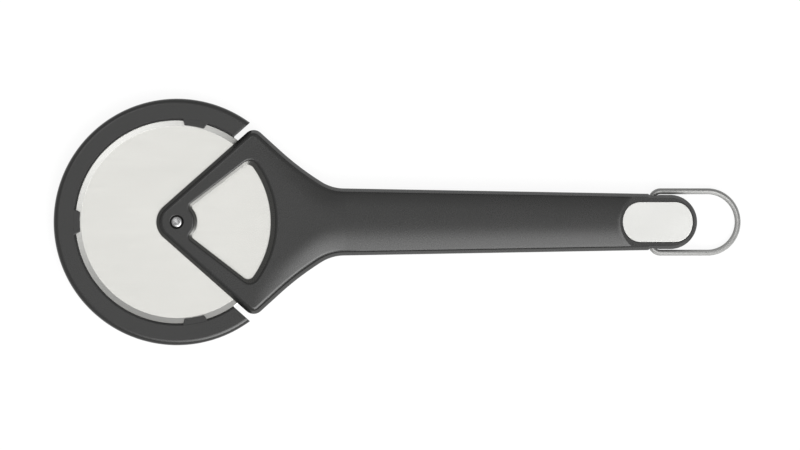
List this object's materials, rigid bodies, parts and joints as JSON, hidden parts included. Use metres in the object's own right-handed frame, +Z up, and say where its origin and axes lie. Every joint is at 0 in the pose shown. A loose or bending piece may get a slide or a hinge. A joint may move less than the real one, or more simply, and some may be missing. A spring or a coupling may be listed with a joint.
{
  "type": "pizza cutter",
  "caption": "Hand pizza cutter: round steel blade turning in the fork of a long plastic handle, with a clip-on blade guard and a swinging wire loop to hang it by.",
  "frame": {"origin": "on the face that the cutter lies on, below the middle of its whole length and width", "axes": "+X along the handle from the blade to the hanging loop, +Z up out of the front face, Y across; the blade turns about Z"},
  "size_m": [0.337, 0.1208, 0.015],
  "materials": {
    "handle_plastic": "satin dark grey moulded plastic",
    "guard_plastic": "matt dark grey moulded plastic",
    "blade_steel": "fine brushed stainless steel with a ground bevel",
    "badge_steel": "bead-blasted stainless steel",
    "wire_steel": "polished stainless wire",
    "rivet_steel": "polished stainless steel",
    "screw_steel": "zinc-plated steel",
    "bearing_plastic": "natural white low-friction plastic",
    "tape_foam": "black foam adhesive"
  },
  "bodies": {
    "handle": {"front_shell": "handle_plastic", "back_shell": "handle_plastic", "front_washer": "bearing_plastic", "back_washer": "bearing_plastic", "axle_sleeve": "rivet_steel", "axle_rivet": "rivet_steel", "rivet_cap": "rivet_steel", "badge_plate": "badge_steel", "badge_tape": "tape_foam", "shell_screws": "screw_steel"},
    "blade": {"blade": "blade_steel", "blade_bush": "bearing_plastic"},
    "guard": {"blade_guard": "guard_plastic"},
    "loop": {"hanging_loop": "wire_steel"}
  },
  "joints": [
    {"name": "blade_spin", "type": "hinge", "parent": "handle", "child": "blade", "pos_m": [-0.10803, 0, 0.0075], "axis": [0, 0, 1], "continuous": true},
    {"name": "guard_pull", "type": "slide", "parent": "handle", "child": "guard", "axis": [-1, 0, 0], "range_m": [0, 0.095], "deforming": ["blade_guard"]},
    {"name": "loop_swing", "type": "hinge", "parent": "handle", "child": "loop", "pos_m": [0.12437, 0, 0.0075], "axis": [0, -1, 0], "range_deg": [-80, 98]}
  ]
}
